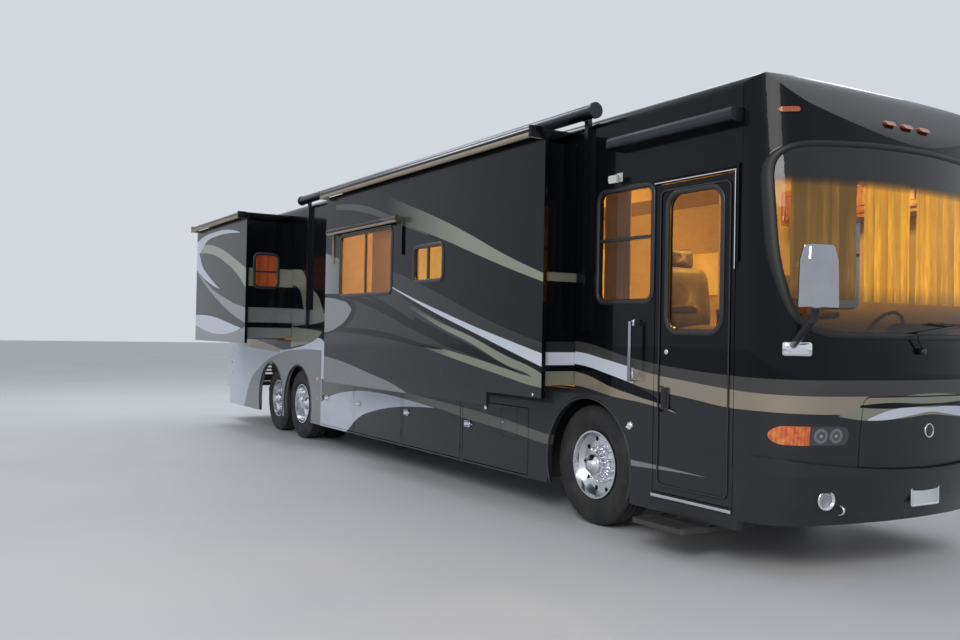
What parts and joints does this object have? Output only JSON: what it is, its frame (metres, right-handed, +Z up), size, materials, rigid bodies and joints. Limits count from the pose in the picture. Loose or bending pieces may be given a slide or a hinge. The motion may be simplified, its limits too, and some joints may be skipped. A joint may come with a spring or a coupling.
{
  "type": "motorhome",
  "caption": "Rear-engine tag-axle motorhome with room slide-outs, awnings, entry door, baggage bays, steered front wheels and twin drive wheels.",
  "frame": {"origin": "on the ground below the middle of the vehicle", "axes": "+X forward, +Y to the vehicle's left, +Z up"},
  "size_m": [13.3799, 4.266, 3.813],
  "materials": {
    "black_paint": "gloss black over charcoal",
    "roof_paint": "dark gloss",
    "glass": "tinted",
    "lamp": "clear and amber lenses",
    "steel": "black chassis paint",
    "chrome": "polished",
    "tyre": "black rubber",
    "alloy": "polished",
    "awning": "black case",
    "fabric": "woven vinyl",
    "curtain": "gold cloth",
    "leather": "dark",
    "wood": "cherry",
    "plastic": "grained",
    "roof_plastic": "off-white",
    "cast": "as cast",
    "floor": "covered boards"
  },
  "bodies": {
    "coach": {"awnings": "awning", "basement": "steel", "bumper": "black_paint", "cab_glass": "glass", "cab_seats": "leather", "cabinets": "wood", "chassis_frame": "steel", "curtains": "curtain", "dashboard": "plastic", "engine": "cast", "fittings": "chrome", "floor": "floor", "front_axle": "cast", "front_cap": "black_paint", "lamps": "lamp", "left_slide_topper": "fabric", "left_wall": "black_paint", "main_slide_topper": "fabric", "rear_axles": "cast", "rear_cap": "black_paint", "rear_slide_topper": "fabric", "right_wall": "black_paint", "roof": "roof_paint", "roof_units": "roof_plastic", "windshield": "glass"},
    "main_slide_room": {"main_slide": "black_paint", "main_slide_glass": "glass"},
    "rear_slide_room": {"rear_slide": "black_paint", "rear_slide_glass": "glass"},
    "left_slide_room": {"left_slide": "black_paint", "left_slide_glass": "glass"},
    "door": {"entry_door": "black_paint", "entry_door_glass": "glass"},
    "step": {"entry_step": "steel"},
    "generator_tray": {"hood": "black_paint", "generator": "cast"},
    "rear_engine_door": {"engine_door": "black_paint"},
    "left_knuckle": {"knuckle_left": "cast"},
    "right_knuckle": {"knuckle_right": "cast"},
    "front_wheel_left": {"front_tyre_left": "tyre", "front_rim_left": "alloy"},
    "front_wheel_right": {"front_tyre_right": "tyre", "front_rim_right": "alloy"},
    "drive_wheels_left": {"drive_tyres_left": "tyre", "drive_rims_left": "alloy"},
    "drive_wheels_right": {"drive_tyres_right": "tyre", "drive_rims_right": "alloy"},
    "tag_wheel_left": {"tag_tyre_left": "tyre", "tag_rim_left": "alloy"},
    "tag_wheel_right": {"tag_tyre_right": "tyre", "tag_rim_right": "alloy"},
    "bay_door_left_1": {"bay_door_left_1": "black_paint"},
    "bay_door_left_2": {"bay_door_left_2": "black_paint"},
    "bay_door_left_3": {"bay_door_left_3": "black_paint"},
    "bay_door_right_1": {"bay_door_right_1": "black_paint"},
    "bay_door_right_2": {"bay_door_right_2": "black_paint"},
    "bay_door_right_3": {"bay_door_right_3": "black_paint"},
    "bay_door_right_4": {"bay_door_right_4": "black_paint"}
  },
  "joints": [
    {"name": "main_slide_in", "type": "slide", "parent": "coach", "child": "main_slide_room", "axis": [0, 1, 0], "range_m": [0, 0.334], "deforming": ["main_slide_topper"]},
    {"name": "rear_slide_in", "type": "slide", "parent": "coach", "child": "rear_slide_room", "axis": [0, 1, 0], "range_m": [0, 0.689], "deforming": ["rear_slide_topper"]},
    {"name": "left_slide_in", "type": "slide", "parent": "coach", "child": "left_slide_room", "axis": [0, -1, 0], "range_m": [0, 0.689], "deforming": ["left_slide_topper"]},
    {"name": "entry_door_swing", "type": "hinge", "parent": "coach", "child": "door", "pos_m": [5.867, -1.275, 1.6], "axis": [0, 0, 1], "range_deg": [0, 100]},
    {"name": "step_in", "type": "slide", "parent": "coach", "child": "step", "axis": [0, 1, 0], "range_m": [0, 0.2]},
    {"name": "generator_out", "type": "slide", "parent": "coach", "child": "generator_tray", "axis": [1, 0, 0], "range_m": [0, 0.45]},
    {"name": "engine_door_lift", "type": "hinge", "parent": "coach", "child": "rear_engine_door", "pos_m": [-6.54, 0, 1.412], "axis": [0, 1, 0], "range_deg": [0, 80]},
    {"name": "steer_right", "type": "hinge", "parent": "coach", "child": "right_knuckle", "pos_m": [4.21, -0.89, 0.512], "axis": [0, 0, 1], "range_deg": [-35, 35]},
    {"name": "steer_left", "type": "hinge", "parent": "coach", "child": "left_knuckle", "pos_m": [4.21, 0.89, 0.512], "axis": [0, 0, 1], "range_deg": [-35, 35]},
    {"name": "front_roll_left", "type": "hinge", "parent": "left_knuckle", "child": "front_wheel_left", "pos_m": [4.21, 1.05, 0.512], "axis": [0, 1, 0], "continuous": true},
    {"name": "drive_roll_left", "type": "hinge", "parent": "coach", "child": "drive_wheels_left", "pos_m": [-2.79, 1.05, 0.512], "axis": [0, 1, 0], "continuous": true},
    {"name": "tag_roll_left", "type": "hinge", "parent": "coach", "child": "tag_wheel_left", "pos_m": [-3.99, 1.05, 0.512], "axis": [0, 1, 0], "continuous": true},
    {"name": "front_roll_right", "type": "hinge", "parent": "right_knuckle", "child": "front_wheel_right", "pos_m": [4.21, -1.05, 0.512], "axis": [0, 1, 0], "continuous": true},
    {"name": "drive_roll_right", "type": "hinge", "parent": "coach", "child": "drive_wheels_right", "pos_m": [-2.79, -1.05, 0.512], "axis": [0, 1, 0], "continuous": true},
    {"name": "tag_roll_right", "type": "hinge", "parent": "coach", "child": "tag_wheel_right", "pos_m": [-3.99, -1.05, 0.512], "axis": [0, 1, 0], "continuous": true},
    {"name": "bay_door_right_1_swing", "type": "hinge", "parent": "coach", "child": "bay_door_right_1", "pos_m": [-0.709, -1.275, 0.6], "axis": [0, 0, 1], "range_deg": [0, 110]},
    {"name": "bay_door_right_2_swing", "type": "hinge", "parent": "coach", "child": "bay_door_right_2", "pos_m": [0.682, -1.275, 0.6], "axis": [0, 0, 1], "range_deg": [0, 110]},
    {"name": "bay_door_right_3_swing", "type": "hinge", "parent": "coach", "child": "bay_door_right_3", "pos_m": [2.062, -1.275, 0.6], "axis": [0, 0, 1], "range_deg": [0, 110]},
    {"name": "bay_door_right_4_swing", "type": "hinge", "parent": "coach", "child": "bay_door_right_4", "pos_m": [3.325, -1.275, 0.6], "axis": [0, 0, 1], "range_deg": [0, 110]},
    {"name": "bay_door_left_1_swing", "type": "hinge", "parent": "coach", "child": "bay_door_left_1", "pos_m": [-0.128, 1.275, 0.6], "axis": [0, 0, -1], "range_deg": [0, 110]},
    {"name": "bay_door_left_2_swing", "type": "hinge", "parent": "coach", "child": "bay_door_left_2", "pos_m": [1.622, 1.275, 0.6], "axis": [0, 0, -1], "range_deg": [0, 110]},
    {"name": "bay_door_left_3_swing", "type": "hinge", "parent": "coach", "child": "bay_door_left_3", "pos_m": [3.325, 1.275, 0.6], "axis": [0, 0, -1], "range_deg": [0, 110]}
  ],
  "couplings": [
    {"joint": "steer_left", "follows": "steer_right", "ratio": 1}
  ]
}
